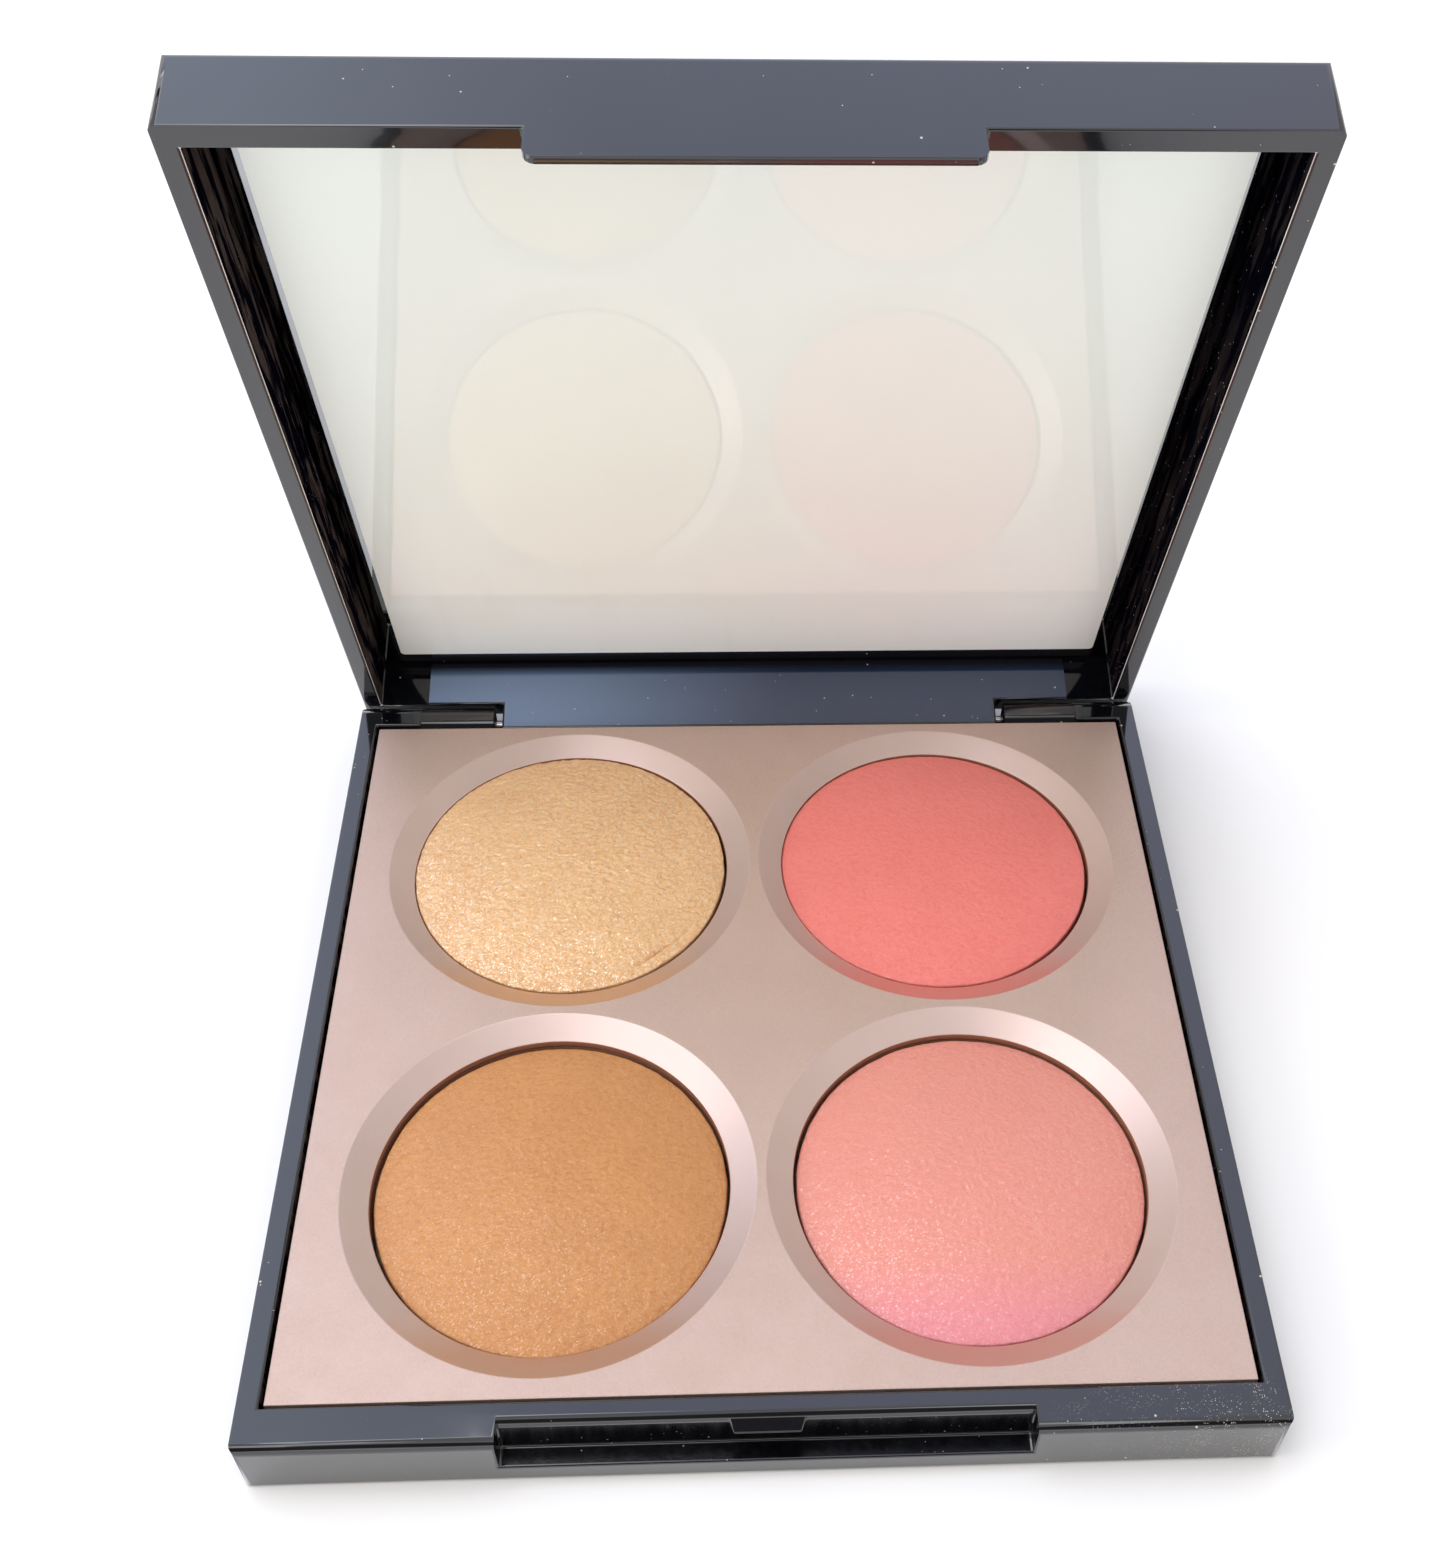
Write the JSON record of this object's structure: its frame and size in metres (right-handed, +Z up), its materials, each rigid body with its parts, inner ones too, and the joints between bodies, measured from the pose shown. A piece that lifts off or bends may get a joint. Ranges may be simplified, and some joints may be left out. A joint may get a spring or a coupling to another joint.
{
  "type": "face powder compact",
  "caption": "Square hinged make-up compact with a mirror lid, a satin metallic deck plate and round wells holding baked powder domes.",
  "frame": {"origin": "centre of the base's underside", "axes": "+Z up out of the powder wells, +Y towards the hinge, +X to the user's right"},
  "size_m": [0.095, 0.103, 0.0968],
  "materials": {
    "black_shell": "gloss",
    "rose_deck": "satin",
    "glue": "satin",
    "pan_metal": "satin",
    "powder_highlighter": "matte",
    "powder_coral_blush": "matte",
    "powder_bronzer": "matte",
    "powder_peach_blush": "matte",
    "pin_steel": "satin",
    "mirror": "polished",
    "tape": "matte",
    "film": "satin"
  },
  "bodies": {
    "base": {"base_shell": "black_shell", "deck_plate": "rose_deck", "pan_glue_highlighter": "glue", "pan_highlighter": "pan_metal", "powder_highlighter": "powder_highlighter", "pan_glue_coral_blush": "glue", "pan_coral_blush": "pan_metal", "powder_coral_blush": "powder_coral_blush", "pan_glue_bronzer": "glue", "pan_bronzer": "pan_metal", "powder_bronzer": "powder_bronzer", "pan_glue_peach_blush": "glue", "pan_peach_blush": "pan_metal", "powder_peach_blush": "powder_peach_blush", "hinge_pin_left": "pin_steel", "hinge_pin_right": "pin_steel"},
    "lid": {"lid_shell": "black_shell", "mirror_glass": "mirror", "mirror_tape": "tape", "mirror_film": "film"}
  },
  "joints": [
    {"name": "lid_hinge", "type": "hinge", "parent": "base", "child": "lid", "pos_m": [0, 0.04535, 0.00525], "axis": [-1, 0, 0], "range_deg": [-73.7, 34.3]}
  ]
}
